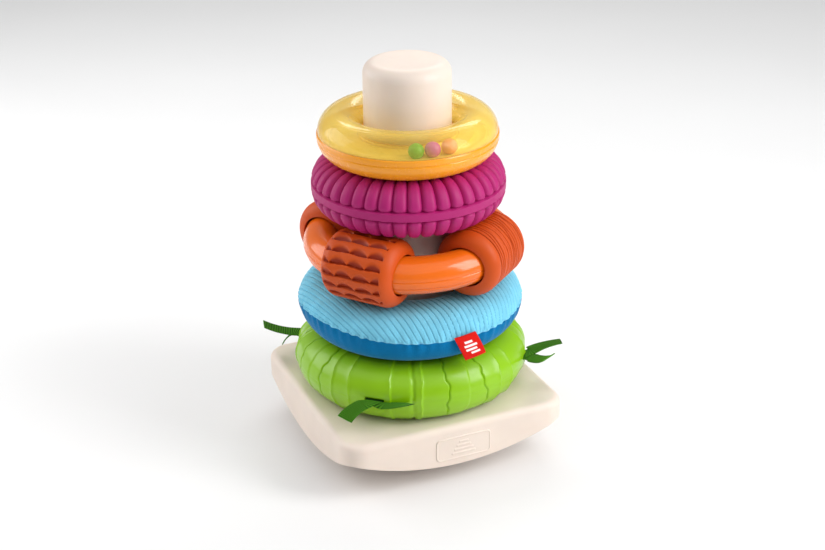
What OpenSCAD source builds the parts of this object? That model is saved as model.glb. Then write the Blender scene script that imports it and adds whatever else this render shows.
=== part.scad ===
// Stacking ring toy: a rocking base with a fixed post and five lift-off rings.
// The origin is the centre of the foot on the floor, +Z points up the post,
// and -Y is the side of the base that carries the label. Millimetres.

/* [Base] */
// Width and depth of the rounded square base
base_side = 137; // [125:1:145]
// Corner radius of the base seen from above
base_corner = 13; // [10:1:20]
// Height of the flat top of the base above the floor
base_top = 38; // [36:1:44]
// Radius of the rounded edge round the top of the base
base_edge = 4; // [2:0.5:5]
// Radius of the dome under the base that lets the toy rock
dome_r = 171; // [160:1:190]
// Radius of the flat foot in the middle of the dome
foot_r = 20; // [15:1:25]
// Wall thickness of the base and its cover
wall = 2.5; // [2:0.1:3]

/* [Post] */
// Radius of the post
post_r = 24.5; // [22:0.1:25]
// Height of the top of the post above the floor
post_top = 230.9; // [225:0.1:250]
// Radius of the rounded edge at the top of the post
post_nose = 7; // [4:0.5:10]
// Radial play of the rings on the post
ring_play = 1.6; // [1:0.1:2.5]

/* [Green ring] */
// Outer radius of the green ring
green_r = 67.3; // [64:0.1:70]
// Height of the green ring
green_h = 33.4; // [30:0.1:34]
// Width of the ribbons
ribbon_w = 10; // [8:0.5:12]
// Length of each loose ribbon tail
ribbon_tail = 23; // [15:1:28]

/* [Blue ring] */
// Outer radius of the stuffed blue ring
blue_r = 64.7; // [62:0.1:66]
// Height of the blue ring below its seam
blue_low = 17.8; // [15:0.1:18]
// Height of the blue ring above its seam
blue_high = 15.2; // [13:0.1:16]
// Thickness of the blue fabric covers
cloth = 1.5; // [1:0.1:2]

/* [Orange ring] */
// Radius of the tube's centre line
tube_ring_r = 50; // [48:0.5:52]
// Radius of the tube
tube_r = 10.5; // [9:0.1:10.8]
// Radius of the three clackers
clack_r = 19.3; // [18.5:0.1:19.4]
// Length of a clacker
clack_l = 44.4; // [36:0.1:45]

/* [Purple ring] */
// Outer radius of the purple ring
purple_r = 54.9; // [50:0.1:56]
// Height of the purple ring
purple_h = 32; // [28.5:0.1:32]

/* [Yellow ring] */
// Outer radius of the yellow ring
yellow_r = 50.9; // [48:0.1:51]
// Height of the opaque lower shell of the yellow ring
yellow_low = 14.6; // [14:0.1:16]
// Height of the clear dome of the yellow ring
yellow_high = 12.2; // [10.6:0.1:13]
// Radius of the rolling beads
bead_r = 4.4; // [3.5:0.1:4.5]

/* [Hidden] */
$fn = 64;
slack = 0.01;
dome_z = sqrt(dome_r * dome_r - foot_r * foot_r);
hole_r = post_r + ring_play;

// Fastening of the post and of the cover
flange_z = 25;
flange_h = 2.5;
flange_r = 39;
post_screw_r = 34;
cover_screw_xy = 48;
cup_floor = 17;
cup_top = 20;
head_r = 3;
head_h = 2.4;
shank_r = 1.25;
pilot_r = 1.3;

// Heights of the rings at rest on the post
green_z = base_top + green_h / 2;
blue_seam = base_top + green_h + 0.5 + blue_low;
orange_z = blue_seam + blue_high + 0.6 + clack_r;
purple_z = orange_z + clack_r + purple_h / 2;
yellow_seam = purple_z + purple_h / 2 + 0.3 + yellow_low;

// Extra wall thickness of the purple ring, for the depth of its ribs
rib_depth = 1;

// Widths of the ring sections
green_w = (green_r - hole_r) / 2;
blue_w = (blue_r - hole_r) / 2;
purple_w = (purple_r - hole_r) / 2;
yellow_w = (yellow_r - hole_r) / 2;
shell = 1.9;
lip = 0.6;

ribbon_angles = [-131, -33, 49, 139];
clack_angles = [-143, -51, 125];
clack_axis_r = 45.3;
clack_hole_r = 12.9;
clack_round = 7.5;
bead_angles = [-94, -107, -79.5];
bead_ring_r = 40;
bead_z = yellow_seam + 1.8;
track_top = bead_z - 3.3;

IVORY = [0.94, 0.90, 0.84];
GREEN = [0.51, 0.75, 0.12];
RIBBON = [0.20, 0.43, 0.10];
SKY = [0.49, 0.84, 0.96];
BLUE = [0.04, 0.51, 0.76];
ORANGE = [0.96, 0.47, 0.18];
RUST = [0.80, 0.29, 0.10];
MAGENTA = [0.71, 0.16, 0.43];
YELLOW = [0.96, 0.65, 0.18];

// ---- shared shapes ----

// Flat outline with straight middle and fully rounded ends, centred on 0,0
module stadium(half_w, half_h) {
    r = min(half_w, half_h);
    dx = half_w - r;
    dy = half_h - r;
    for (s = [-1, 1]) translate([s * dx, s * dy]) circle(r);
    if (dx > 0) square([2 * dx, 2 * r], center = true);
    if (dy > 0) square([2 * r, 2 * dy], center = true);
}

// Part of a flat shape above (side 1) or below (side -1) height 0
module keep_half(side) {
    reach = 60;
    intersection() {
        children();
        translate([-reach, side > 0 ? 0 : -reach]) square([2 * reach, reach]);
    }
}

// Copies of the children turned about the post
module around(angles) {
    for (a = angles) rotate([0, 0, a]) children();
}

// Closed ring swept round the post from a flat section centred on radius r, height z
module sweep(r, z) {
    translate([0, 0, z]) rotate_extrude($fn = 128) translate([r, 0]) children();
}

// Rounded square prism from z0 to z1 with sharp edges
module rounded_prism(side, corner, z0, z1) {
    half = side / 2 - corner;
    translate([0, 0, z0]) linear_extrude(z1 - z0) {
        for (x = [-half, half], y = [-half, half]) translate([x, y]) circle(corner);
        square([side, 2 * half], center = true);
        square([2 * half, side], center = true);
    }
}

// Rounded square prism whose top edge is rounded as well
module soft_prism(side, corner, edge, z0, z1) {
    half = side / 2 - corner;
    inner = corner - edge;
    rounded_prism(side, corner, z0, z1 - edge);
    rounded_prism(side - 2 * edge, inner, z0, z1);
    translate([0, 0, z1 - edge]) {
        for (x = [-half, half], y = [-half, half]) translate([x, y])
            rotate_extrude() {
                intersection() {
                    translate([inner, 0]) circle(edge);
                    square([corner + 1, edge + 1]);
                }
                square([inner, edge]);
            }
        for (a = [0 : 90 : 270]) rotate([0, 0, a])
            translate([side / 2 - edge, 0, 0]) rotate([90, 0, 0])
                cylinder(r = edge, h = 2 * half, center = true);
    }
}

// Cross-recessed screw, head at the bottom, tip up
module screw(length) {
    difference() {
        union() {
            cylinder(r = head_r, h = head_h);
            translate([0, 0, head_h - slack]) cylinder(r = shank_r, h = length + slack);
        }
        for (a = [0, 90]) rotate([0, 0, a]) cube([3.4, 0.8, 2.2], center = true);
    }
}

// ---- base and post ----

module cover_places() {
    for (x = [-1, 1], y = [-1, 1]) translate([x * cover_screw_xy, y * cover_screw_xy, 0]) children();
}

module post_places() {
    around([45 : 90 : 315]) translate([post_screw_r, 0, 0]) children();
}

module dome(shrink = 0) {
    translate([0, 0, dome_z]) sphere(r = dome_r - shrink, $fn = 200);
}

module base_shell() {
    inner_side = base_side - 2 * wall;
    color(IVORY) difference() {
        union() {
            difference() {
                intersection() {
                    soft_prism(base_side, base_corner, base_edge, 5, base_top);
                    dome();
                }
                rounded_prism(inner_side, base_corner - wall, 0, base_top - wall);
            }
            cover_places() translate([0, 0, cup_top])
                cylinder(r = 4, h = base_top - wall - cup_top + slack);
            post_places() translate([0, 0, flange_z + flange_h])
                cylinder(r = 4, h = base_top - wall - flange_z - flange_h + slack);
        }
        cylinder(r = post_r + 0.15, h = base_top + 1);
        cover_places() translate([0, 0, cup_top - 1]) cylinder(r = pilot_r, h = 12);
        post_places() translate([0, 0, flange_z]) cylinder(r = pilot_r, h = 9.5);
    }
}

module base_bottom_cover() {
    side = base_side - 2 * wall - 0.6;
    color(IVORY) difference() {
        union() {
            difference() {
                intersection() {
                    rounded_prism(side, base_corner - wall - 0.3, 0, 30);
                    dome();
                }
                intersection() {
                    dome(wall);
                    translate([0, 0, wall]) cylinder(r = base_side, h = 60);
                }
            }
            intersection() {
                cover_places() cylinder(r = 5.6, h = cup_top);
                dome();
            }
        }
        cover_places() cylinder(r = 3.6, h = cup_floor);
        cover_places() cylinder(r = 1.6, h = cup_top + 1);
    }
}

module base_cover_screws() {
    color("silver") cover_places() translate([0, 0, cup_floor - head_h]) screw(11);
}

module post() {
    flat = post_r - post_nose;
    inner = post_r - wall;
    inner_nose = post_nose - wall;
    color(IVORY) difference() {
        rotate_extrude($fn = 128) {
            translate([0, flange_z]) square([flange_r, flange_h]);
            translate([0, flange_z]) square([post_r, post_top - post_nose - flange_z]);
            square_top(flat, post_nose, post_top);
        }
        translate([0, 0, -1]) rotate_extrude($fn = 128) {
            square([inner, post_top - post_nose + 1]);
            translate([0, 1]) square_top(inner - inner_nose, inner_nose, post_top - wall);
        }
        post_places() cylinder(r = 1.6, h = base_top);
    }
}

// Flat-topped rounded end of a turned shape, reaching height top
module square_top(flat, nose, top) {
    translate([0, top - nose - slack]) square([flat, nose + slack]);
    intersection() {
        translate([flat, top - nose]) circle(nose);
        translate([0, top - nose]) square([flat + nose, nose]);
    }
}

module post_screws() {
    color("silver") post_places() translate([0, 0, flange_z - head_h]) screw(9);
}

// Plain raised label on the front wall
module front_label() {
    color(IVORY) translate([2.2, -base_side / 2, 24]) rotate([90, 0, 0]) linear_extrude(0.6)
        stadium_plate(34.5, 14.9, 3);
}

// Rounded rectangle plate outline
module stadium_plate(w, h, r) {
    for (x = [-1, 1], y = [-1, 1]) translate([x * (w / 2 - r), y * (h / 2 - r)]) circle(r);
    square([w, h - 2 * r], center = true);
    square([w - 2 * r, h], center = true);
}

// ---- green ring ----

module green_half(side) {
    r = hole_r + green_w;
    color(GREEN) difference() {
        sweep(r, green_z) keep_half(side) difference() {
            stadium(green_w, green_h / 2);
            stadium(green_w - shell, green_h / 2 - shell);
        }
        around(ribbon_angles) translate([green_r - 2, 0, green_z])
            cube([14, ribbon_w + 1, 1.8], center = true);
    }
}

module green_upper_shell() { green_half(1); }
module green_lower_shell() { green_half(-1); }

// Centre line of a ribbon tail: an arc of the given length and bend
function tail_point(t, bend) =
    bend == 0 ? [t, 0] : [sin(bend * t / ribbon_tail), cos(bend * t / ribbon_tail) - 1]
        * (ribbon_tail / (bend * PI / 180));

module ribbon_tail_strip(bend) {
    t = [for (i = [0 : 12]) ribbon_tail * i / 12];
    up = [for (s = t) tail_point(s, bend) + [0, 0.35]];
    down = [for (i = [12 : -1 : 0]) tail_point(t[i], bend) - [0, 0.35]];
    rotate([90, 0, 0]) linear_extrude(ribbon_w, center = true) polygon(concat(up, down));
}

// One ribbon: a doubled middle held in the slot and two loose tails
module ribbon(a) {
    color(RIBBON) rotate([0, 0, a]) translate([green_r, 0, green_z]) {
        translate([-3.5, 0, 0]) cube([15, ribbon_w, 1.4], center = true);
        translate([3, 0, 0.2]) rotate([0, 0, 28]) ribbon_tail_strip(-20);
        translate([3, 0, -0.2]) rotate([0, 0, -28]) ribbon_tail_strip(35);
    }
}

module ribbon_front_left() { ribbon(ribbon_angles[0]); }
module ribbon_front_right() { ribbon(ribbon_angles[1]); }
module ribbon_back_right() { ribbon(ribbon_angles[2]); }
module ribbon_back_left() { ribbon(ribbon_angles[3]); }

// ---- blue ring ----

// Section of the stuffed ring above (1) or below (-1) its seam, shrunk all round
module blue_section(side, shrink) {
    h = side > 0 ? blue_high : blue_low;
    keep_half(side) stadium(blue_w - shrink, h - shrink);
}

module blue_cover(side, tone) {
    color(tone) sweep(hole_r + blue_w, blue_seam) difference() {
        blue_section(side, 0);
        blue_section(side, cloth);
    }
}

module blue_top_cover() { blue_cover(1, SKY); }
module blue_bottom_cover() { blue_cover(-1, BLUE); }

module blue_filling() {
    color("white") sweep(hole_r + blue_w, blue_seam) {
        blue_section(1, cloth + 0.2);
        blue_section(-1, cloth + 0.2);
    }
}

// Folded fabric tag that hangs from the outer seam
module blue_sewn_tag() {
    color("red") rotate([0, 0, -84]) translate([blue_r + 0.9, 0, blue_seam - 6]) rotate([-14, 0, 0])
        cube([1, 12.5, 14], center = true);
}

// ---- orange ring ----

// Upper (1) or lower (-1) half of the hollow tube, parted below its middle
module orange_tube_half(side) {
    seam = -tube_r * 0.43;
    color(ORANGE) sweep(tube_ring_r, orange_z) intersection() {
        difference() {
            circle(tube_r);
            circle(tube_r - 1.6);
        }
        translate([-20, side > 0 ? seam : seam - 40]) square(40);
    }
}

module orange_tube_upper() { orange_tube_half(1); }
module orange_tube_lower() { orange_tube_half(-1); }

// Turned section of a clacker: x is the distance from its axis, y runs along it
module clacker_section(grooves) {
    half = clack_l / 2;
    rim = clack_r - 2;
    difference() {
        union() {
            square([clack_r, half - clack_round]);
            square([clack_r - clack_round, half]);
            translate([clack_r - clack_round, half - clack_round]) circle(clack_round);
        }
        translate([-1, -1]) square([rim + 1, half - 6]);
        translate([-1, -1]) square([rim - 4 + 1, half - 1]);
        translate([rim - 4, half - 7]) circle(4);
        translate([-1, -1]) square([clack_hole_r + 1, half + 2]);
        for (y = grooves) translate([clack_r, y]) circle(0.5);
    }
}

// Half a clacker: part 1 is the outer half, part -1 the half beside the post
module clacker_half(a, part, grooves = []) {
    color(RUST) rotate([0, 0, a]) translate([clack_axis_r, 0, orange_z]) difference() {
        rotate([90, 0, 0]) {
            rotate_extrude($fn = 96) clacker_section(grooves);
            mirror([0, 0, 1]) rotate_extrude($fn = 96) clacker_section(grooves);
        }
        translate([part > 0 ? -60 : 0, -30, -30]) cube(60);
    }
}

barrel_grooves = [13.5, 9.5, 5.5, 1.5];
module clacker_scaled_outer() { clacker_half(clack_angles[0], 1); }
module clacker_scaled_inner() { clacker_half(clack_angles[0], -1); }
module clacker_grooved_outer() { clacker_half(clack_angles[1], 1, barrel_grooves); }
module clacker_grooved_inner() { clacker_half(clack_angles[1], -1, barrel_grooves); }
module clacker_plain_outer() { clacker_half(clack_angles[2], 1, [13.5]); }
module clacker_plain_inner() { clacker_half(clack_angles[2], -1, [13.5]); }

// ---- purple ring ----

module purple_half(side) {
    h = purple_h / 2;
    skin = rib_depth + shell;
    color(MAGENTA) sweep(hole_r + purple_w, purple_z) keep_half(side) difference() {
        stadium(purple_w, h);
        stadium(purple_w - skin, h - skin);
    }
}

module purple_upper_shell() { purple_half(1); }
module purple_lower_shell() { purple_half(-1); }

// ---- yellow ring ----

module yellow_clear_dome() {
    color([1, 0.8, 0.25, 0.6]) sweep(hole_r + yellow_w, yellow_seam) keep_half(1) difference() {
        stadium(yellow_w - lip, yellow_high);
        stadium(yellow_w - lip - 1.5, yellow_high - 1.5);
    }
}

// Section of the lower shell, its open side up at height 0
module yellow_cup(shrink) {
    drop = yellow_low - yellow_w;
    translate([0, -drop]) circle(yellow_w - shrink);
    translate([-yellow_w + shrink, -drop]) square([2 * (yellow_w - shrink), drop + yellow_w]);
}

module yellow_lower_shell() {
    color(YELLOW) sweep(hole_r + yellow_w, yellow_seam) difference() {
        keep_half(-1) yellow_cup(0);
        yellow_cup(shell);
        translate([yellow_w, -3.6]) circle(0.4);
    }
}

// Floor that the beads roll on, with a round groove
module yellow_bead_track() {
    color(YELLOW) rotate_extrude($fn = 128) difference() {
        translate([hole_r + 2.1, track_top - 3]) square([2 * yellow_w - 4.2, 3]);
        translate([bead_ring_r, bead_z]) circle(bead_r + 0.25);
    }
}

module bead(i, tone) {
    color(tone) rotate([0, 0, bead_angles[i]]) translate([bead_ring_r, 0, bead_z])
        sphere(bead_r, $fn = 48);
}

module bead_magenta() { bead(0, "deeppink"); }
module bead_green() { bead(1, "yellowgreen"); }
module bead_peach() { bead(2, "peachpuff"); }

base_shell();
base_bottom_cover();
base_cover_screws();
post();
post_screws();
front_label();
green_upper_shell();
green_lower_shell();
ribbon_front_left();
ribbon_front_right();
ribbon_back_right();
ribbon_back_left();
blue_top_cover();
blue_bottom_cover();
blue_filling();
blue_sewn_tag();
orange_tube_upper();
orange_tube_lower();
clacker_scaled_outer();
clacker_scaled_inner();
clacker_grooved_outer();
clacker_grooved_inner();
clacker_plain_outer();
clacker_plain_inner();
purple_upper_shell();
purple_lower_shell();
yellow_clear_dome();
yellow_lower_shell();
yellow_bead_track();
bead_magenta();
bead_green();
bead_peach();
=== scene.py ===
"""Looks of the stacking ring toy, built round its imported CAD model.

Named values are in millimetres and degrees, or in metres where the name ends in _M. add_mesh()
turns points into Blender's metres. Sizes and places of the rings come from their CAD nodes.
"""
import math
from collections import namedtuple

import bpy
import numpy as np
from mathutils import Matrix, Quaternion, Vector


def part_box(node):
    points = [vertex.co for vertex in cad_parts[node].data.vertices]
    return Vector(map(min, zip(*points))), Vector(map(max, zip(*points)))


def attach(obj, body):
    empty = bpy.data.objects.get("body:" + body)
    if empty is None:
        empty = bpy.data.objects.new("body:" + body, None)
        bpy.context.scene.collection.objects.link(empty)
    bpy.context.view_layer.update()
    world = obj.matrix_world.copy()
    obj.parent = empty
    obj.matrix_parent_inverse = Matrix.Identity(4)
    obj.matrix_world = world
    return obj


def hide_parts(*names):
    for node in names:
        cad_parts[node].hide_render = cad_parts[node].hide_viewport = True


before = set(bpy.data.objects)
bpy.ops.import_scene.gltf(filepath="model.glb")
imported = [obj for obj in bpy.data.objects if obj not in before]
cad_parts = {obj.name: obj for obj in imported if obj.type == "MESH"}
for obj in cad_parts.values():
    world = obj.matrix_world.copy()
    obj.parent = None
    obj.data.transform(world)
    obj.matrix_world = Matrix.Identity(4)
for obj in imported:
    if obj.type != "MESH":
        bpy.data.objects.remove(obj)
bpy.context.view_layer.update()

MM = 0.001
TURN = 2 * math.pi
scene = bpy.context.scene

# ---- camera and light ----

CAMERA_AIM = (1.7, 0, 101.3)
CAMERA_DISTANCE = 922
CAMERA_AZIMUTH = -23.25
CAMERA_ELEVATION = 25.02
CAMERA_ROLL = -0.75
CAMERA_LENS = 69.5
SENSOR_WIDTH = 36
CLIP_END_M = 20

# Area lights: azimuth, elevation, distance, width, height and watts
SOFTBOXES = {
    "softbox_right": (44, 30, 900, 380, 680, 5.8),
    "softbox_left": (-128, 22, 900, 700, 600, 3.7),
    "softbox_back": (152, 42, 900, 700, 160, 1.8),
    "overhead": (20, 82, 4000, 9000, 9000, 165),
}
WHITE = (1, 1, 1, 1)
SKY_STRENGTH = 0.26


def point_round(azimuth, elevation, distance, aim):
    """Place (in metres) at a distance from aim, seen from the -Y side at azimuth 0."""
    a = math.radians(azimuth)
    e = math.radians(elevation)
    back = Vector((math.sin(a) * math.cos(e), -math.cos(a) * math.cos(e), math.sin(e)))
    return (Vector(aim) + back * distance) * MM


def look_at(obj, aim, roll=0):
    """Turns obj so that its -Z axis points at aim."""
    turn = (Vector(aim) * MM - obj.location).to_track_quat("-Z", "Y")
    obj.rotation_mode = "QUATERNION"
    obj.rotation_quaternion = turn @ Quaternion((0, 0, 1), math.radians(roll))


def add_camera():
    data = bpy.data.cameras.new("camera")
    data.lens = CAMERA_LENS
    data.sensor_width = SENSOR_WIDTH
    data.clip_end = CLIP_END_M
    camera = bpy.data.objects.new("camera", data)
    camera.location = point_round(CAMERA_AZIMUTH, CAMERA_ELEVATION, CAMERA_DISTANCE, CAMERA_AIM)
    look_at(camera, CAMERA_AIM, CAMERA_ROLL)
    scene.collection.objects.link(camera)
    scene.camera = camera


def add_softbox(name, azimuth, elevation, distance, width, height, power):
    data = bpy.data.lights.new(name, "AREA")
    data.shape = "RECTANGLE"
    data.size = width * MM
    data.size_y = height * MM
    data.energy = power
    lamp = bpy.data.objects.new(name, data)
    lamp.location = point_round(azimuth, elevation, distance, CAMERA_AIM)
    look_at(lamp, CAMERA_AIM)
    scene.collection.objects.link(lamp)


def add_lights():
    for name, settings in SOFTBOXES.items():
        add_softbox(name, *settings)
    world = bpy.data.worlds.new("studio")
    scene.world = world
    world.use_nodes = True
    sky = world.node_tree.nodes["Background"]
    sky.inputs["Color"].default_value = WHITE
    sky.inputs["Strength"].default_value = SKY_STRENGTH


# ---- mesh helpers ----

def add_mesh(name, points, faces, sharp=50):
    """Closed mesh from points in millimetres. Edges that bend more than sharp stay crisp."""
    mesh = bpy.data.meshes.new(name)
    mesh.from_pydata((np.asarray(points, float).reshape(-1, 3) * MM).tolist(), [], faces)
    mesh.update()
    if signed_volume(mesh) < 0:
        mesh.flip_normals()
    mesh.shade_smooth()
    mesh.set_sharp_from_angle(angle=math.radians(sharp))
    obj = bpy.data.objects.new(name, mesh)
    scene.collection.objects.link(obj)
    return obj


def signed_volume(mesh):
    mesh.calc_loop_triangles()
    co = np.zeros(len(mesh.vertices) * 3)
    mesh.vertices.foreach_get("co", co)
    tri = np.zeros(len(mesh.loop_triangles) * 3, int)
    mesh.loop_triangles.foreach_get("vertices", tri)
    a, b, c = co.reshape(-1, 3)[tri.reshape(-1, 3)].transpose(1, 0, 2)
    return float((a * np.cross(b, c)).sum())


def grid_faces(rows, cols, wrap_rows=True):
    """Quads between the points of a rows by cols grid, its columns closed on themselves."""
    i, j = np.meshgrid(np.arange(rows if wrap_rows else rows - 1), np.arange(cols), indexing="ij")
    down = (i + 1) % rows
    right = (j + 1) % cols
    quads = np.stack([i * cols + j, down * cols + j, down * cols + right, i * cols + right], -1)
    return quads.reshape(-1, 4).tolist()


def capped_faces(rows, cols):
    """Faces of a tube of rows loops, closed by one flat face at each end."""
    first = list(range(cols))
    last = list(range((rows - 1) * cols, rows * cols))
    return grid_faces(rows, cols, wrap_rows=False) + [first, last]


def run_along(path):
    """Distance along a path from its first point to each point."""
    step = np.linalg.norm(np.diff(path, axis=0), axis=1)
    return np.concatenate([[0], np.cumsum(step)])


def run_to_end(path):
    """Distance along a path from each point to its last point."""
    step = np.linalg.norm(np.diff(path, axis=0), axis=1)
    return np.concatenate([np.cumsum(step[::-1])[::-1], [0]])


def even(path, count, crowd=0.0):
    """count points along a flat path, evenly spread, or crowded towards its end."""
    run = run_along(path)
    k = np.linspace(0, 1, count)
    k = (1 - crowd) * k + crowd * (1 - (1 - k) ** 2)
    return np.stack([np.interp(k * run[-1], run, path[:, axis]) for axis in (0, 1)], 1)


def left_normals(path):
    """Unit vectors to the left of a flat path's direction."""
    run = np.gradient(path, axis=0)
    run /= np.linalg.norm(run, axis=1, keepdims=True)
    return np.stack([-run[:, 1], run[:, 0]], 1)


def smooth(low, high, value):
    """0 below low, 1 above high, and a smooth rise between them."""
    t = np.clip((value - low) / (high - low), 0, 1)
    return t * t * (3 - 2 * t)


def bell(off, width):
    """1 where off is 0, falling to nothing a few widths away."""
    return np.exp(-(off / width) ** 2)


def waves(angle, seed, counts):
    """Irregular wave of about unit height, closed round the circle. angle is in radians."""
    rng = np.random.default_rng(seed)
    total = 0
    for count in counts:
        total = total + np.sin(count * angle + rng.uniform(0, TURN))
    return total / math.sqrt(len(counts))


def circle_of(steps):
    """Column of steps angles round a full turn, in radians."""
    return np.linspace(0, TURN, steps, endpoint=False)[:, None]


def turned(section, angles):
    """Points of a flat (radius, height) section turned round the Z axis."""
    radius = section[..., 0]
    return np.stack([radius * np.cos(angles), radius * np.sin(angles),
                     section[..., 1] + 0 * angles], -1)


def set_attribute(piece, name, values):
    """Gives every point of a piece a value that its material can read."""
    attribute = piece.data.attributes.new(name, "FLOAT", "POINT")
    attribute.data.foreach_set("value", np.ascontiguousarray(values, float).ravel())


def settle(piece, body, slot, *nodes):
    """Gives a piece its body and its material slot, and hides the CAD nodes that it stands for."""
    piece.data.materials.append(MATERIALS[slot])
    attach(piece, body)
    if nodes:
        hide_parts(*nodes)


# ---- rings ----

Ring = namedtuple("Ring", "hole outer low seam high")
SIDES = ((1, "upper"), (-1, "lower"))
FINE_POINTS = 200


def ring_of(upper, lower):
    """Sizes of a ring whose two shells meet at its seam."""
    points = []
    for name in (upper, lower):
        points += [v.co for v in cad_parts[name].data.vertices]
    points = np.array(points) / MM
    reach = np.hypot(points[:, 0], points[:, 1])
    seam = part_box(upper)[0].z / MM
    return Ring(reach.min(), reach.max(), points[:, 2].min(), seam, points[:, 2].max())


def section_middle(ring):
    """(radius, height) of the middle of a ring's section, on its seam."""
    return np.array([(ring.outer + ring.hole) / 2, ring.seam])


def half_outline(half_w, half_h, count, crowd=0.0):
    """Outline of half a rounded section: hole wall, over the crown, outer wall."""
    r = min(half_w, half_h)
    turn = np.radians(np.linspace(180, 0, 181))
    arc = r * np.stack([np.cos(turn), np.sin(turn)], 1)
    arc[:, 0] += (half_w - r) * np.sign(np.round(arc[:, 0], 6))
    arc[:, 1] += half_h - r
    path = np.vstack([[-half_w, 0], arc, [half_w, 0]]) if half_h > r else arc
    return even(path, count, crowd)


def ring_shell(name, ring, side, wall, steps, count, relief=None, crowd=0.5, shape=None):
    """Hollow upper (side 1) or lower (side -1) half of a ring.

    steps is how many sections go round, and count how many points lie over the outer skin.
    relief(angle, edge, radius) gives how far the outer skin stands out, where edge is the
    distance along the skin from the outer seam. shape(points, angles) may move the points.
    """
    half_w = (ring.outer - ring.hole) / 2
    half_h = ring.high - ring.seam if side > 0 else ring.seam - ring.low
    outer = half_outline(half_w, half_h, count, crowd)
    fine = half_outline(half_w, half_h, FINE_POINTS)
    inner = even(fine - wall * left_normals(fine), max(12, count // 4))
    inner[[0, -1], 1] = 0
    angles = circle_of(steps)
    middle = section_middle(ring)
    normals = left_normals(outer)
    normals[[0, -1]] = [[-1, 0], [1, 0]]
    skin = np.repeat(outer[None], steps, 0)
    if relief:
        edge = run_to_end(outer)[None]
        push = relief(angles, edge, middle[0] + outer[None, :, 0])
        skin = skin + push[..., None] * normals
    cavity = np.repeat(inner[None, ::-1], steps, 0)
    section = np.concatenate([skin, cavity], 1) * [1, side] + middle
    points = turned(section, angles)
    if shape:
        points = shape(points, angles)
    shell = add_mesh(name, points, grid_faces(*points.shape[:2]))
    lining = np.zeros(points.shape[:2])
    lining[:, count:] = 1
    set_attribute(shell, "lining", lining)
    return shell


# ---- materials ----

BUMP_DEPTH_M = 0.0003


def linear(red, green, blue):
    """Linear colour from 0-255 sRGB values."""
    def one(value):
        value /= 255
        return value / 12.92 if value < 0.04045 else ((value + 0.055) / 1.055) ** 2.4
    return (one(red), one(green), one(blue), 1)


def node(mat, kind, inputs=None, **settings):
    """Adds a shader node. inputs gives a socket a value, or joins it to another node's socket."""
    new = mat.node_tree.nodes.new("ShaderNode" + kind)
    for key, value in settings.items():
        setattr(new, key, value)
    for key, value in (inputs or {}).items():
        if isinstance(value, bpy.types.NodeSocket):
            mat.node_tree.links.new(value, new.inputs[key])
        else:
            new.inputs[key].default_value = value
    return new


def material(name, **shader):
    """New material; the keywords set the shader's own sockets, with _ for a space."""
    mat = bpy.data.materials.new(name)
    mat.use_nodes = True
    bsdf = mat.node_tree.nodes["Principled BSDF"]
    for key, value in shader.items():
        bsdf.inputs[key.replace("_", " ")].default_value = value
    return mat, bsdf


def join(mat, source, target):
    mat.node_tree.links.new(source, target)


def noise_of(mat, scale, detail=2.0, rough=0.5):
    place = node(mat, "TexCoord").outputs["Object"]
    return node(mat, "TexNoise", {"Vector": place, "Scale": scale, "Detail": detail,
                                  "Roughness": rough}).outputs["Fac"]


def spread(mat, value, low, high):
    """Maps 0.3-0.7, where noise mostly lies, to low-high."""
    return node(mat, "MapRange", {"Value": value, "From Min": 0.3, "From Max": 0.7,
                                  "To Min": low, "To Max": high}).outputs["Result"]


def tint(mat, value, dark, light):
    """Colour that goes from dark to light with a 0-1 value."""
    mix = node(mat, "Mix", {"Factor": value}, data_type="RGBA")
    mix.inputs["A"].default_value = dark
    mix.inputs["B"].default_value = light
    return mix.outputs["Result"]


def mottle(mat, bsdf, noise, dark, light):
    """Base colour that wanders between dark and light."""
    join(mat, tint(mat, spread(mat, noise, 0, 1), dark, light), bsdf.inputs["Base Color"])


def vary_roughness(mat, bsdf, noise, low, high):
    join(mat, spread(mat, noise, low, high), bsdf.inputs["Roughness"])


def bumps(mat, bsdf, height, strength):
    bump = node(mat, "Bump", {"Height": height, "Strength": strength,
                              "Distance": BUMP_DEPTH_M})
    join(mat, bump.outputs["Normal"], bsdf.inputs["Normal"])


def shade(colour, by):
    return tuple(c * by for c in colour[:3]) + (1,)


def moulded(name, colour, rough, grain, grain_scale, coat=0.0, scatter=0.0, specular=0.4):
    """Moulded plastic: slight cloudiness in its colour and gloss, and a fine skin grain."""
    mat, bsdf = material(name, Coat_Weight=coat, Coat_Roughness=0.06, Subsurface_Weight=scatter,
                         Subsurface_Scale=0.002, Specular_IOR_Level=specular)
    mottle(mat, bsdf, noise_of(mat, 38, 3), shade(colour, 0.95), shade(colour, 1.025))
    vary_roughness(mat, bsdf, noise_of(mat, 420, 3), rough - 0.04, rough + 0.04)
    bumps(mat, bsdf, noise_of(mat, grain_scale, 2), grain)
    return mat


def glossy(name, colour, rough, coat):
    """Polished moulded plastic, with hardly any grain."""
    return moulded(name, colour, rough, 0.01, 300, coat=coat)


def cloth_material(name, colour, scale, sheen):
    """Fabric: a fine pile or weave in colour and bump, and a soft sheen."""
    mat, bsdf = material(name, Sheen_Weight=sheen, Sheen_Roughness=0.3, Specular_IOR_Level=0.12,
                         Roughness=0.85)
    fine = noise_of(mat, scale, 3, 0.6)
    broad = noise_of(mat, 90, 3)
    lifted = node(mat, "Math", {0: fine, 1: 0.16}, operation="ADD").outputs[0]
    both = node(mat, "Math", {0: lifted, 1: broad}, operation="MULTIPLY").outputs[0]
    mottle(mat, bsdf, both, shade(colour, 0.82), shade(colour, 1.1))
    bumps(mat, bsdf, fine, 0.5)
    return mat


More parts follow.
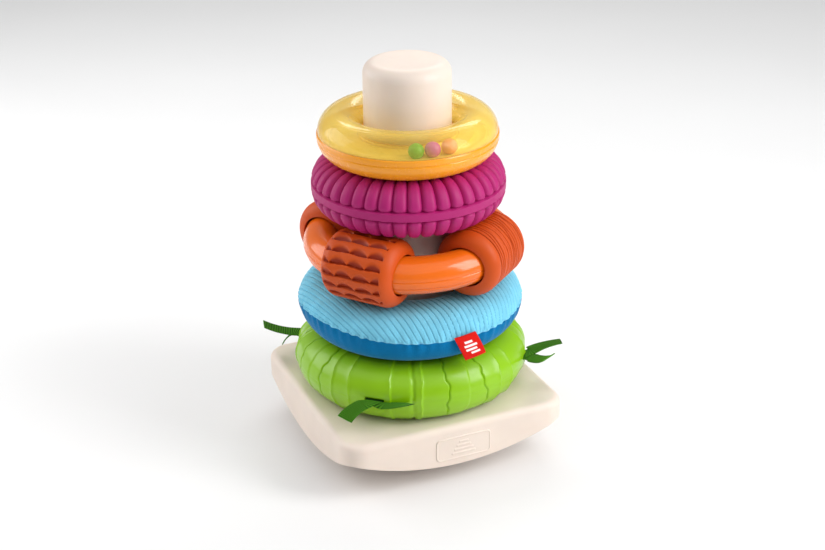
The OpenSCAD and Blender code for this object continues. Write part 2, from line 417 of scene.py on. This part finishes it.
def recolour(mat, attribute, colour):
    """Lays a second colour over the first where a piece's attribute is 1."""
    bsdf = mat.node_tree.nodes["Principled BSDF"]
    first = bsdf.inputs["Base Color"].links[0].from_socket
    share = node(mat, "Attribute", attribute_name=attribute).outputs["Fac"]
    mix = node(mat, "Mix", {"Factor": share, "A": first, "B": colour}, data_type="RGBA")
    join(mat, mix.outputs["Result"], bsdf.inputs["Base Color"])


def make_plastics():
    rust_and_magenta = {"grain": 0.12, "grain_scale": 2800, "specular": 0.3}
    return {
        "ivory_plastic": moulded("ivory_plastic", linear(238, 222, 209), 0.42, 0.10, 3000,
                                 scatter=0.05),
        "green_gloss": moulded("green_gloss", linear(142, 196, 6), 0.33, 0.03, 900, coat=0.12),
        "orange_gloss": glossy("orange_gloss", linear(244, 112, 16), 0.22, 0.3),
        "rust_matte": moulded("rust_matte", linear(208, 80, 12), 0.48, **rust_and_magenta),
        "magenta_matte": moulded("magenta_matte", linear(176, 30, 110), 0.5, **rust_and_magenta),
        "yellow_gloss": glossy("yellow_gloss", linear(252, 162, 18), 0.25, 0.3),
        "track_yellow": glossy("track_yellow", linear(255, 228, 122), 0.3, 0.2),
        "bead_green": glossy("bead_green", linear(64, 190, 50), 0.22, 0.4),
        "bead_magenta": glossy("bead_magenta", linear(206, 66, 226), 0.22, 0.4),
        "bead_peach": glossy("bead_peach", linear(252, 158, 130), 0.22, 0.4),
    }


def make_cloths():
    """Fabrics. Plain white bars stand in for the printing on the red tape."""
    return {
        "sky_corduroy": cloth_material("sky_corduroy", linear(134, 220, 250), 1900, 0.32),
        "blue_plush": cloth_material("blue_plush", linear(0, 122, 182), 1300, 0.2),
        "ribbon_weave": cloth_material("ribbon_weave", linear(84, 152, 30), 2600, 0.1),
        "red_tag": cloth_material("red_tag", linear(236, 30, 22), 3200, 0.2),
    }


def make_materials():
    made = make_plastics() | make_cloths()
    made["label_plastic"] = made["ivory_plastic"]
    made["screw_steel"] = steel()
    made["yellow_clear"] = clear_yellow()
    # Painted shade: a dark green is painted into the ribbon's rib grooves.
    recolour(made["ribbon_weave"], "rib_groove_shade", linear(10, 44, 2))
    # Painted light: the inside of the yellow cup, seen through the dome, is painted paler so that
    # it looks lit.
    recolour(made["yellow_gloss"], "lining", linear(255, 222, 122))
    # Painted shade: a dark rust is painted into the clackers' recessed scales and grooves.
    recolour(made["rust_matte"], "recess_shade", linear(150, 40, 2))
    recolour(made["red_tag"], "print", linear(250, 244, 240))
    return made


def steel():
    mat, bsdf = material("screw_steel", Metallic=1.0)
    mottle(mat, bsdf, noise_of(mat, 900), linear(150, 150, 150), linear(205, 205, 200))
    vary_roughness(mat, bsdf, noise_of(mat, 1400), 0.25, 0.42)
    return mat


def clear_yellow():
    """Tinted clear plastic that lets less through where it is seen at a slant."""
    mat, bsdf = material("yellow_clear", IOR=1.49, Coat_Weight=0.5, Coat_Roughness=0.04)
    mottle(mat, bsdf, noise_of(mat, 30), linear(252, 216, 96), linear(255, 230, 128))
    vary_roughness(mat, bsdf, noise_of(mat, 300), 0.07, 0.12)
    clear = node(mat, "BsdfTransparent", {"Color": (1, 0.98, 0.86, 1)})
    slant = node(mat, "LayerWeight", {"Blend": 0.5}).outputs["Facing"]
    share = node(mat, "MapRange", {"Value": slant, "From Min": 0.15, "From Max": 0.8,
                                   "To Min": 0.86, "To Max": 0.42}).outputs["Result"]
    mix = node(mat, "MixShader", {0: share, 1: bsdf.outputs[0], 2: clear.outputs[0]})
    join(mat, mix.outputs[0], mat.node_tree.nodes["Material Output"].inputs["Surface"])
    return mat


# ---- purple ring ----

PURPLE_RIBS = 41
PURPLE_WALL = 2.9
STEPS_PER_RIB = 18
PURPLE_POINTS = 76
PURPLE_BAND = 4.6
RIB_DEPTH = 2.3
RIB_ROUNDNESS = 2.6


def purple_relief(angle, edge, radius):
    """Wide rounded ribs with narrow grooves, ending in rounded tips at a smooth middle band."""
    pitch = TURN * radius / PURPLE_RIBS
    across = ((angle * PURPLE_RIBS / TURN) % 1 - 0.5) * pitch
    beyond = edge - PURPLE_BAND / 2
    tip = np.clip(pitch * 0.36 - beyond, 0, None) * 1.35
    off = (abs(across) ** RIB_ROUNDNESS + tip ** RIB_ROUNDNESS) ** (1 / RIB_ROUNDNESS)
    depth = np.minimum(RIB_DEPTH, 0.3 * pitch)
    rib = -depth * np.clip(off / (pitch / 2), 0, 1.06) ** 3.4
    return rib * smooth(0, 0.45, beyond)


def make_purple():
    ring = ring_of("purple_upper_shell", "purple_lower_shell")
    for side, name in SIDES:
        shell = ring_shell("purple_ribbed_" + name, ring, side, PURPLE_WALL,
                           PURPLE_RIBS * STEPS_PER_RIB, PURPLE_POINTS, purple_relief)
        settle(shell, "purple_ring", "magenta_matte", f"purple_{name}_shell")


# ---- green ring ----

GREEN_WALL = 1.9
GREEN_STEPS = 1080
GREEN_POINTS = 66
RIBBON_ANGLES = (-131, -33, 49, 139)
SLOT_W = 11
SLOT_DEPTH = 9
SLOT_RISE = 1.6
SLOT_SINK = 0.9
SLOT_FADE = 4
# Lines that run over the green ring, repeated every quarter turn: kind, and degrees round
GREEN_LINES = (("ridge", 7.5), ("valley", 18.8), ("ridge", 22.8), ("crack", 36), ("step", 47),
               ("crack", 57), ("ridge", 66.3), ("ridge", 76.3))
GREEN_START = -131
# Radius at which the lines' distances are measured
GREEN_REACH = 67


def green_line(kind, off):
    """Height of one line, where off is the distance past it in millimetres."""
    if kind == "ridge":
        return 0.85 * np.exp(-np.where(off < 0, -off / 2.2, off / 0.5))
    if kind == "valley":
        return -0.7 * bell(off, 1.2)
    if kind == "step":
        return -0.3 * np.tanh(off / 0.6) * np.exp(-abs(off) / 5)
    return -0.9 * bell(off, 0.4)


def green_relief(side):
    """Lines over the green ring's skin, each with its own lean and sway, and a fine seam."""
    def relief(angle, edge, radius):
        total = 0 * (angle + edge)
        height = side * edge
        for quarter in range(4):
            for index, (kind, degrees) in enumerate(GREEN_LINES):
                rng = np.random.default_rng(60 + quarter * 20 + index)
                lean = rng.uniform(-0.1, 0.1)
                phase = rng.uniform(0, 6)
                second = rng.uniform(0, 6)
                middle = math.radians(GREEN_START + 90 * quarter + degrees) * GREEN_REACH
                sway = 1.0 if kind == "crack" else 0.35
                middle = middle + lean * height + sway * (0.8 * np.sin(height / 3.1 + phase)
                                                          + 0.45 * np.sin(height / 1.2 + second))
                half = math.pi * GREEN_REACH
                off = (angle * GREEN_REACH - middle + half) % (2 * half) - half
                total = total + green_line(kind, off * radius / GREEN_REACH)
        return total - 0.12 * bell(edge, 0.35)
    return relief


def cut_slots(ring):
    """Moves the seam's rim away from the ribbons, which leaves a slot for each."""
    def shape(points, angles):
        near = 0 * angles
        for start in RIBBON_ANGLES:
            off = (angles - math.radians(start) + math.pi) % TURN - math.pi
            near = np.maximum(near, abs(off) * ring.outer < SLOT_W / 2)
        outside = np.hypot(points[..., 0], points[..., 1]) > ring.outer - SLOT_DEPTH
        height = points[..., 2] - ring.seam
        push = SLOT_RISE if height.sum() > 0 else -SLOT_SINK
        points[..., 2] += push * np.clip(1 - abs(height) / SLOT_FADE, 0, 1) * near * outside
        return points
    return shape


def make_green():
    ring = ring_of("green_upper_shell", "green_lower_shell")
    for side, name in SIDES:
        shell = ring_shell("green_grooved_" + name, ring, side, GREEN_WALL, GREEN_STEPS,
                           GREEN_POINTS, green_relief(side), crowd=0.3, shape=cut_slots(ring))
        settle(shell, "green_ring", "green_gloss", f"green_{name}_shell")
    return ring


# ---- ribbons ----

RIBBON_W = 10
RIBBON_T = 0.5
RIBBON_RIB = 1.1
RIB_HEIGHT = 0.14
RIBBON_COLS = 13
FOLD_LAYER = 0.42
FOLD_DEPTH = 9
MOUTH_OUT = 0.6
TAIL_STEPS = 150
# Length over which a tail's width swings from the slot's direction to its own
TAIL_FREE = 7
Tail = namedtuple("Tail", "length yaw curl twist spin roll", defaults=(0,))
TAILS = {
    "ribbon_front_left": (Tail(20.6, -52, -28, -14, 29), Tail(22.5, 84, 16, -42, 2, 20)),
    "ribbon_front_right": (Tail(27, 68, 1, -13, -54), Tail(24.4, -37, 43, 13, -18)),
    "ribbon_back_right": (Tail(23, 20, 20, 10, 10), Tail(22, -20, -30, 0, -15)),
    "ribbon_back_left": (Tail(24.8, 19, 32, 1, 8), Tail(19, -32, -70, -8, 63)),
}


def strip_tail(start, heading, up, tail):
    """Centre line and width direction of a tail that leaves start along heading."""
    place = Vector(start)
    across = up.cross(heading)
    ahead = Quaternion(up, math.radians(tail.yaw)) @ heading
    flat = Quaternion(ahead, math.radians(tail.roll)) @ up
    places, widths = [], []
    for step in range(TAIL_STEPS):
        wide = flat.cross(ahead).normalized()
        places.append(place.copy())
        share = min(1, tail.length * step / TAIL_STEPS / TAIL_FREE) ** 2
        widths.append((wide * share + across * (1 - share)).normalized())
        bend = Quaternion(wide, math.radians(-tail.curl / TAIL_STEPS))
        turn = Quaternion(flat, math.radians(tail.spin / TAIL_STEPS))
        roll = Quaternion(ahead, math.radians(tail.twist / TAIL_STEPS))
        ahead = (turn @ (bend @ ahead)).normalized()
        flat = (roll @ (bend @ flat)).normalized()
        place = place + ahead * (tail.length / TAIL_STEPS)
    return places, widths


def ribbon(name, ring, angle, first, second):
    """Folded ribbon: two tails outside the slot and a fold inside the ring."""
    a = math.radians(angle)
    out = Vector((math.cos(a), math.sin(a), 0))
    up = Vector((0, 0, 1))
    wide = up.cross(out)
    layer = up * FOLD_LAYER
    mouth = out * (ring.outer + MOUTH_OUT) + up * ring.seam
    upper, upper_wide = strip_tail(mouth + layer, out, up, first)
    lower, lower_wide = strip_tail(mouth - layer, out, up, second)
    fold = [mouth - out * FOLD_DEPTH * k / 10 + layer for k in range(1, 11)]
    fold += [mouth - out * FOLD_DEPTH - out * FOLD_LAYER * math.sin(t) + layer * math.cos(t)
             for t in np.linspace(0.4, math.pi - 0.4, 5)]
    fold += [mouth - out * FOLD_DEPTH * (1 - k / 10) - layer for k in range(10)]
    places = upper[::-1] + fold + lower
    widths = upper_wide[::-1] + [wide] * len(fold) + lower_wide
    return strip(name, np.array(places), np.array(widths))


def strip(name, places, widths):
    """Closed band of ribbon along places, ribbed across its width."""
    ahead = np.gradient(places, axis=0)
    ahead /= np.linalg.norm(ahead, axis=1, keepdims=True)
    up = np.cross(ahead, widths)
    up /= np.linalg.norm(up, axis=1, keepdims=True)
    run = run_along(places)
    across = np.linspace(-1, 1, RIBBON_COLS)
    edge = np.concatenate([across, across[::-1]])
    side = np.concatenate([np.ones(RIBBON_COLS), -np.ones(RIBBON_COLS)])
    body = RIBBON_T / 2 * (1 - 0.5 * abs(edge) ** 8)
    wave = np.cos(TURN * run / RIBBON_RIB)[:, None]
    ribs = RIB_HEIGHT * wave * (1 - abs(edge) ** 6)
    points = (places[:, None] + edge[None, :, None] * widths[:, None] * RIBBON_W / 2
              + (side * (body + ribs))[..., None] * up[:, None])
    piece = add_mesh(name, points, capped_faces(*points.shape[:2]))
    # Painted shade: each rib groove gets a 0-1 share of a dark colour that stands in for its
    # shade.
    set_attribute(piece, "rib_groove_shade", smooth(-0.3, 0.9, -wave) + 0 * edge)
    piece["flat_length"] = run[-1]
    return piece


def make_ribbons(ring):
    for angle, (name, tails) in zip(RIBBON_ANGLES, TAILS.items()):
        piece = ribbon(name + "_woven", ring, angle, *tails)
        settle(piece, "green_ring", "ribbon_weave", name)


# ---- blue ring ----

BLUE_STEPS = 240
BLUE_TOP = 30
BLUE_UNDER = 32
BLUE_WALL = 1.2
SLACK = 0.93
SEAM_RISE = 3.6
SEAM_RISE_AT = -165
CORD_PITCH = 3.3
CORD_ANGLE = -82
CORD_GROOVE = 0.24
STITCHES = 170
STITCH_IN = 1.1
SWELL_LIMIT = 4
SWELL_FRAMES = 20


def swelling_cloth(skin):
    """Adds the cloth modifier that blows a skin up from inside."""
    settings = skin.modifiers.new("cloth", "CLOTH").settings
    settings.vertex_group_mass = "seam"
    settings.effector_weights.gravity = 0
    settings.use_pressure = True
    settings.uniform_pressure_force = 4
    settings.tension_stiffness = 12
    settings.compression_stiffness = 12
    settings.shear_stiffness = 4
    settings.bending_stiffness = 0.4
    settings.quality = 5


def inflate(grid, pinned):
    """Pushes a closed skin out with Blender's cloth, holding the pinned columns."""
    rows, cols = grid.shape[:2]
    mesh = bpy.data.meshes.new("skin")
    mesh.from_pydata((grid.reshape(-1, 3) * MM).tolist(), [], grid_faces(rows, cols))
    skin = bpy.data.objects.new("skin", mesh)
    scene.collection.objects.link(skin)
    if signed_volume(mesh) < 0:
        mesh.flip_normals()
    group = skin.vertex_groups.new(name="seam")
    group.add([i * cols + j for i in range(rows) for j in pinned], 1, "REPLACE")
    swelling_cloth(skin)
    for frame_no in range(1, SWELL_FRAMES + 1):
        scene.frame_set(frame_no)
    done = skin.evaluated_get(bpy.context.evaluated_depsgraph_get())
    co = np.zeros(rows * cols * 3)
    done.data.vertices.foreach_get("co", co)
    moved = co.reshape(rows, cols, 3) / MM - grid
    far = np.linalg.norm(moved, axis=-1, keepdims=True)
    bpy.data.objects.remove(skin)
    scene.frame_set(1)
    return grid + moved * np.minimum(1, SWELL_LIMIT / np.maximum(far, 1e-9))


def finer(grid, wrap):
    """Doubles a grid's rows (wrap) or columns with a smooth cubic spline."""
    if wrap:
        grid = grid.swapaxes(0, 1)
    before = np.roll(grid, 1, 1)
    after = np.roll(grid, -1, 1)
    if not wrap:
        before[:, 0], after[:, -1] = grid[:, 0], grid[:, -1]
    kept = (before + 6 * grid + after) / 8
    if not wrap:
        kept[:, 0], kept[:, -1] = grid[:, 0], grid[:, -1]
    fine = np.stack([kept, (grid + after) / 2], 2).reshape(len(grid), -1, 3)
    if wrap:
        return fine.swapaxes(0, 1)
    return fine[:, :-1]


def grid_normals(grid):
    along = np.roll(grid, -1, 0) - np.roll(grid, 1, 0)
    over = np.gradient(grid, axis=1)
    normal = np.cross(over, along)
    return normal / np.linalg.norm(normal, axis=-1, keepdims=True)


def cover(name, grid, push):
    """Closed cover: the skin pushed out by push, backed by a smooth inner face."""
    normal = grid_normals(grid)
    middle = grid.mean(axis=(0, 1))
    if ((grid - middle) * normal * [0, 0, 1]).sum() < 0:
        normal = -normal
    skin = grid + push[..., None] * normal
    inner = grid - BLUE_WALL * normal
    points = np.concatenate([skin, inner[:, ::-1]], 1)
    return add_mesh(name, points, grid_faces(*points.shape[:2]), 60)


def stuffed_skin(ring):
    """Skin of the whole blue ring, its first column repeated last.

    The outer seam wavers a little and rises on one side.
    """
    half_w = (ring.outer - ring.hole) / 2
    top = half_outline(half_w, ring.high - ring.seam, BLUE_TOP + 1) * [1, SLACK]
    under = half_outline(half_w, ring.seam - ring.low, BLUE_UNDER + 1)[::-1] * [1, -SLACK]
    loop = np.vstack([top, under[1:-1]])
    angles = circle_of(BLUE_STEPS)
    grid = turned(np.repeat(loop[None], BLUE_STEPS, 0) + section_middle(ring), angles)
    grid[:, BLUE_TOP, 2] += 0.3 * waves(angles[:, 0], 3, (61, 74, 89, 97))
    off = (np.degrees(angles) - SEAM_RISE_AT + 180) % 360 - 180
    seamward = bell(np.linalg.norm(loop - loop[BLUE_TOP], axis=1), 9)
    grid[..., 2] += SEAM_RISE * bell(off, 32) * seamward
    grid = inflate(grid, (0, BLUE_TOP))
    return np.concatenate([grid, grid[:, :1]], 1)


def make_blue():
    skin = stuffed_skin(ring_of("blue_top_cover", "blue_bottom_cover"))
    top = finer(finer(skin[:, :BLUE_TOP + 1], False), True)
    top = finer(finer(top, False), True)
    bottom = finer(finer(skin[:, :BLUE_TOP - 1:-1], False), True)
    bottom = finer(bottom, False)
    top_piece = cover("blue_top_fabric", top, corduroy(top))
    settle(top_piece, "blue_ring", "sky_corduroy", "blue_top_cover", "blue_filling")
    bottom_piece = cover("blue_bottom_fabric", bottom, plush(bottom))
    settle(bottom_piece, "blue_ring", "blue_plush", "blue_bottom_cover")


def run_over(grid):
    """Distance along each row of a cover, from its hole to each point."""
    step = np.linalg.norm(np.diff(grid, axis=1), axis=-1)
    return np.concatenate([np.zeros((len(grid), 1)), np.cumsum(step, 1)], 1)


def corduroy(grid):
    """Wide flat cords with narrow grooves between them, puckered at the outer seam.

    The cords run straight over the flat cloth, so each point's place there comes first.
    """
    run = run_over(grid).mean(0)
    crown = grid[..., 2].mean(0).argmax()
    reach = np.hypot(grid[..., 0], grid[..., 1])
    radius = reach.mean(0)[crown] + run - run[crown]
    azimuth = np.arctan2(grid[..., 1], grid[..., 0])
    across = radius * np.sin(azimuth - math.radians(CORD_ANGLE)) / CORD_PITCH
    off = abs(across % 1 - 0.5) * CORD_PITCH
    groove = -0.7 * bell(CORD_PITCH / 2 - off, CORD_GROOVE)
    edge = run[-1] - run
    pull = 0.35 * waves(azimuth, 5, (43, 57, 66, 81)) * np.exp(-edge / 4)
    stitch = 0.35 * np.cos(STITCHES * azimuth) * bell(edge - STITCH_IN, 0.6)
    return groove * smooth(0, 1.0, edge) + pull + stitch


def plush(grid):
    """Soft puckers beside both seams."""
    azimuth = np.arctan2(grid[..., 1], grid[..., 0])
    run = run_over(grid)
    edge = run[:, -1:] - run
    return 0.4 * waves(azimuth, 8, (37, 52, 63, 71)) * np.exp(-np.minimum(edge, run) / 5)


# ---- orange ring ----

TUBE_WALL = 1.6
TUBE_STEPS = 256
TUBE_POINTS = 180
CLACKERS = {"scaled": -143, "grooved": -51, "plain": 125}
CLACK_HALF = 22.2
CLACK_WALL = 1.7
CLACK_GAP = 2.7
CLACK_ROUND = 7.5
CLACK_GROOVE_AT = 13.7
CLACK_STEPS = 150
CLACK_POINTS = 300
LINING_POINTS = 40
HOLE_OUT = 12.6
HOLE_UP = 11.5
SCALE_ROWS = 17
SCALE_REACH = 19.3
SCALE_PITCH = 11.2
SCALE_DEPTH = 1.9
GROOVE_PITCH = 2.2


def make_tube():
    """Two half tubes with a fine groove at each parting line and one at the equator."""
    box_up, box_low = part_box("orange_tube_upper"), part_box("orange_tube_lower")
    outer = box_up[1].x / MM
    high, seam, low = box_up[1].z / MM, box_up[0].z / MM, box_low[0].z / MM
    radius = (high - low) / 2
    centre_z = (high + low) / 2
    middle = np.array([outer - radius, centre_z])
    start = math.degrees(math.asin((seam - centre_z) / radius))
    angles = circle_of(TUBE_STEPS)
    for name, first, last in (("upper", start, 180 - start), ("lower", 180 - start, 360 + start)):
        turn = np.radians(np.linspace(first, last, TUBE_POINTS))
        arc = np.stack([np.cos(turn), np.sin(turn)], 1)
        edge = radius * np.minimum(turn - turn[0], turn[-1] - turn)
        skin = arc * (radius - 0.45 * bell(edge, 0.4) - 0.3 * bell(radius * turn, 0.3))[:, None]
        section = np.vstack([skin, arc[::-12] * (radius - TUBE_WALL)]) + middle
        points = turned(np.repeat(section[None], len(angles), 0), angles)
        piece = add_mesh(f"orange_tube_{name}_half", points, grid_faces(*points.shape[:2]))
        settle(piece, "orange_ring", "orange_gloss", f"orange_tube_{name}")


def clacker_outline(half, radius, rounding, hole):
    """Outline of a clacker from one end hole to the other: (place along its axis, radius)."""
    bare = max(0, hole - radius + rounding) / rounding
    turn = np.radians(np.linspace(180 - math.degrees(math.asin(bare)), 90, 24))
    corner = np.stack([rounding * np.cos(turn), rounding * np.sin(turn)], 1)
    corner += [rounding - half, radius - rounding]
    first = np.vstack([[corner[0, 0], hole - 0.01], corner])
    return np.vstack([first, (first * [-1, 1])[::-1]])


def scales(along, round_it):
    """Rows of recessed arches, deepest at each row's straight edge, with plain ends."""
    pitch = TURN * SCALE_REACH / SCALE_ROWS
    row = round_it / pitch + 0.04 * np.sin(along / 3)
    level = row % 1
    rng = np.random.default_rng(12)
    shift = rng.uniform(-0.12, 0.12, 64)[np.floor(row).astype(int) % 64] + 0.2 * np.floor(row)
    cell = (along / SCALE_PITCH + shift) % 1
    arch = 0.12 + 0.62 * np.sin(math.pi * cell ** 0.8) ** 0.8
    facet = np.clip(1 - level / arch, 0, 1) * smooth(0, 0.09, level)
    return -SCALE_DEPTH * facet * smooth(-20, -18.6, along) * smooth(-17.6, -16.8, -along)


def grooves(along, round_it):
    """Irregular grooves that run round the barrel, the first one deeper than the rest."""
    total = -1.5 * bell(along + CLACK_GROOVE_AT, 0.42)
    for index, place in enumerate(np.arange(-11.2, 18, GROOVE_PITCH)):
        rng = np.random.default_rng(40 + index)
        wander = 0.45 * np.sin(round_it / rng.uniform(5, 9) + rng.uniform(0, 6))
        wander = wander + 0.2 * np.sin(round_it / rng.uniform(2, 3) + rng.uniform(0, 6))
        total = total - rng.uniform(0.3, 1.2) * bell(along - place - wander, 0.38)
    return total


def one_groove(along, round_it):
    """A plain groove near each end."""
    return -0.8 * bell(abs(along) - CLACK_GROOVE_AT, 0.32) + 0 * round_it


def end_hole(turn):
    """Radius of the end hole, oval because the tube leaves the barrel at a slant."""
    return 1 / np.hypot(np.cos(turn) / HOLE_OUT, np.sin(turn) / HOLE_UP)


def clacker_half(name, angle, part, relief, centre, radius):
    """Outer (part 1) or inner (part -1) half of a clacker, split along its axis."""
    turn = np.radians(np.linspace(-90, 90, CLACK_STEPS) + (0 if part > 0 else 180))
    loops, recess_shade = [], []
    for t in turn:
        outline = even(clacker_outline(CLACK_HALF, radius, CLACK_ROUND, end_hole(t)),
                       CLACK_POINTS)
        normals = left_normals(outline)
        normals[[0, -1]] = 0
        lining = even(clacker_outline(CLACK_HALF - CLACK_WALL, radius - CLACK_GAP,
                                      CLACK_ROUND - 1.2, end_hole(t) + 0.2), LINING_POINTS)
        depth = relief(outline[:, 0], t * radius)
        skin = outline + depth[:, None] * normals
        loops.append(np.concatenate([skin, lining[::-1]]))
        # Painted shade: the deeper a point is cut in, the more of a dark colour it gets.
        recess_shade.append(np.concatenate([smooth(0.1, 1, -depth), 0 * lining[:, 0]]))
    loop = np.array(loops)
    a = math.radians(angle)
    out = np.array([math.cos(a), math.sin(a), 0])
    ahead = np.array([-math.sin(a), math.cos(a), 0])
    across = np.cos(turn)[:, None, None] * out + np.sin(turn)[:, None, None] * [0, 0, 1]
    points = centre + loop[..., :1] * ahead + loop[..., 1:] * across
    half = add_mesh(name, points, capped_faces(*points.shape[:2]), 40)
    set_attribute(half, "recess_shade", recess_shade)
    return half


def make_clackers():
    reliefs = {"scaled": scales, "grooved": grooves, "plain": one_groove}
    for kind, angle in CLACKERS.items():
        corners = [c for part in ("outer", "inner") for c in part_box(f"clacker_{kind}_{part}")]
        low = Vector(map(min, *corners)) / MM
        high = Vector(map(max, *corners)) / MM
        centre = np.array((low + high) / 2)
        radius = (high.z - low.z) / 2
        for side, part in ((1, "outer"), (-1, "inner")):
            piece = clacker_half(f"clacker_{kind}_{part}_half", angle, side, reliefs[kind], centre,
                                 radius)
            settle(piece, "clacker_" + kind, "rust_matte", f"clacker_{kind}_{part}")


# ---- yellow ring ----

DOME_WALL = 1.5
CUP_WALL = 1.9
CUP_LINE_AT = 3.6
YELLOW_STEPS = 256
DOME_POINTS = 60
CUP_POINTS = 90


def yellow_relief(angle, edge, radius):
    """Step line below the seam, and a fine line at the seam itself."""
    return -0.35 * bell(edge - CUP_LINE_AT, 0.35) - 0.5 * bell(edge, 0.35) + 0 * angle


def make_yellow():
    clear = ring_of("yellow_clear_dome", "yellow_clear_dome")
    opaque = ring_of("yellow_lower_shell", "yellow_lower_shell")
    opaque = opaque._replace(seam=opaque.high)
    dome = ring_shell("yellow_see_through_dome", clear, 1, DOME_WALL, YELLOW_STEPS, DOME_POINTS,
                      crowd=0)
    settle(dome, "yellow_ring", "yellow_clear", "yellow_clear_dome")
    cup = ring_shell("yellow_cup", opaque, -1, CUP_WALL, YELLOW_STEPS, CUP_POINTS, yellow_relief)
    settle(cup, "yellow_ring", "yellow_gloss", "yellow_lower_shell")


# ---- tag and label ----

TAG_W = 13
TAG_DROP = 14.5
TAG_SLANT = 6.5
TAG_AZIMUTH = -86.4
TAG_REACH = 66.2
TAG_ARC_R = 65.5
TAG_T = 0.25
TAG_ROWS = 76
TAG_COLS = 66
# White bars on the tag: how far down, and from where to where across its width
TAG_BARS = ((0.28, -0.2, 0.16), (0.44, -0.3, 0.3), (0.6, -0.3, 0.22), (0.76, -0.12, 0.3))
TAG_BAR_HALF = 0.045
# Raised bars on the front plate: height above its middle, and half length
LABEL_BARS = ((-3.6, 7.5), (-1.2, 6), (1.2, 4.5), (3.6, 3))
LABEL_BAR_HALF = 0.75
LABEL_CORNER = 3
LABEL_STEPS = (176, 78)
LABEL_BACK = 0.4


def make_tag():
    """Folded tape that hangs from the seam: down the front, round the fold, up the back."""
    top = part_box("blue_sewn_tag")[1].z / MM + 0.4
    fall = np.linspace(0, 1, TAG_ROWS)
    down = np.concatenate([fall, fall[::-1]])[:, None]
    front = np.repeat([[1], [-1]], TAG_ROWS, 0)
    u = np.linspace(-0.5, 0.5, TAG_COLS)[None]
    azimuth = math.radians(TAG_AZIMUTH) + (u * TAG_W + TAG_SLANT * down) / TAG_ARC_R
    out = (TAG_REACH + 0.8 * np.sin(down * 2.2) + front * (0.25 + 0.4 * np.sin(math.pi * down))
           + 0.5 * u * down)
    z = top - TAG_DROP * down + 1.3 * u
    grid = np.stack([out * np.cos(azimuth), out * np.sin(azimuth), z], -1)
    tag = cloth_strip("blue_ring_tag", grid, TAG_T)
    bars = 0 * azimuth
    for level, start, end in TAG_BARS:
        bars[(front > 0) & (abs(down - level) < TAG_BAR_HALF) & (u > start) & (u < end)] = 1
    set_attribute(tag, "print", np.concatenate([bars, bars[:, ::-1]], 1))
    settle(tag, "blue_ring", "red_tag", "blue_sewn_tag")


def cloth_strip(name, grid, thick):
    """Closed thin cloth over an open grid of points."""
    along = np.gradient(grid, axis=0)
    over = np.gradient(grid, axis=1)
    normal = np.cross(along, over)
    normal /= np.linalg.norm(normal, axis=-1, keepdims=True)
    points = np.concatenate([grid + normal * thick / 2, (grid - normal * thick / 2)[:, ::-1]], 1)
    return add_mesh(name, points, capped_faces(*points.shape[:2]))


def make_label():
    """Raised plate with a frame and four plain bars."""
    low, high = (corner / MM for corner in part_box("front_label"))
    half_w, half_h = (high.x - low.x) / 2, (high.z - low.z) / 2
    x, z = np.meshgrid(np.linspace(-half_w, half_w, LABEL_STEPS[0]),
                       np.linspace(-half_h, half_h, LABEL_STEPS[1]), indexing="ij")
    inside = rounded_box(x, z, half_w - 0.1, half_h - 0.1, LABEL_CORNER)
    height = 0.6 * smooth(-0.05, 0.3, -inside) - 0.3
    height += 0.3 * smooth(0, 0.25, 0.45 - abs(inside + 0.75))
    for level, reach in LABEL_BARS:
        bar = rounded_box(x, z - level, reach, LABEL_BAR_HALF, LABEL_BAR_HALF)
        height += 0.3 * smooth(0, 0.3, -bar)
    front = np.stack([x, -height, z], -1)
    back = np.stack([x, 0 * x + LABEL_BACK, z], -1)
    centre = (low + high) / 2
    points = np.concatenate([front, back[:, ::-1]], 1) + [centre.x, high.y, centre.z]
    piece = add_mesh("front_plate", points, capped_faces(*points.shape[:2]))
    settle(piece, "base", "label_plastic", "front_label")


def rounded_box(x, y, half_w, half_h, r):
    """Signed distance from a rounded rectangle, negative inside."""
    dx, dy = abs(x) - half_w + r, abs(y) - half_h + r
    return np.hypot(np.maximum(dx, 0), np.maximum(dy, 0)) + np.minimum(np.maximum(dx, dy), 0) - r


# ---- the rest ----

# CAD nodes that are shown as they are, by the material that they get
KEPT = {
    "ivory_plastic": ("base_shell", "base_bottom_cover", "post"),
    "screw_steel": ("base_cover_screws", "post_screws"),
    "track_yellow": ("yellow_bead_track",),
    "bead_green": ("bead_green",),
    "bead_magenta": ("bead_magenta",),
    "bead_peach": ("bead_peach",),
}
FLOOR_REACH_M = 6
FLOOR_DARK = (0.85, 0.85, 0.85, 1)
FLOOR_LIGHT = (0.87, 0.87, 0.87, 1)


def dress_kept_nodes():
    for slot, names in KEPT.items():
        for name in names:
            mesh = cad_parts[name].data
            mesh.materials.clear()
            mesh.materials.append(MATERIALS[slot])


def add_floor():
    mesh = bpy.data.meshes.new("floor")
    corners = [(x * FLOOR_REACH_M, y * FLOOR_REACH_M, 0)
               for x, y in ((-1, -1), (1, -1), (1, 1), (-1, 1))]
    mesh.from_pydata(corners, [], [(0, 1, 2, 3)])
    floor = bpy.data.objects.new("floor", mesh)
    scene.collection.objects.link(floor)
    mat, bsdf = material("floor", Roughness=0.9, Specular_IOR_Level=0.2)
    mottle(mat, bsdf, noise_of(mat, 4), FLOOR_DARK, FLOOR_LIGHT)
    mesh.materials.append(mat)


scene.view_settings.view_transform = "Standard"
MATERIALS = make_materials()
add_camera()
add_lights()
add_floor()
dress_kept_nodes()
make_label()
make_ribbons(make_green())
make_blue()
make_tag()
make_tube()
make_clackers()
make_purple()
make_yellow()
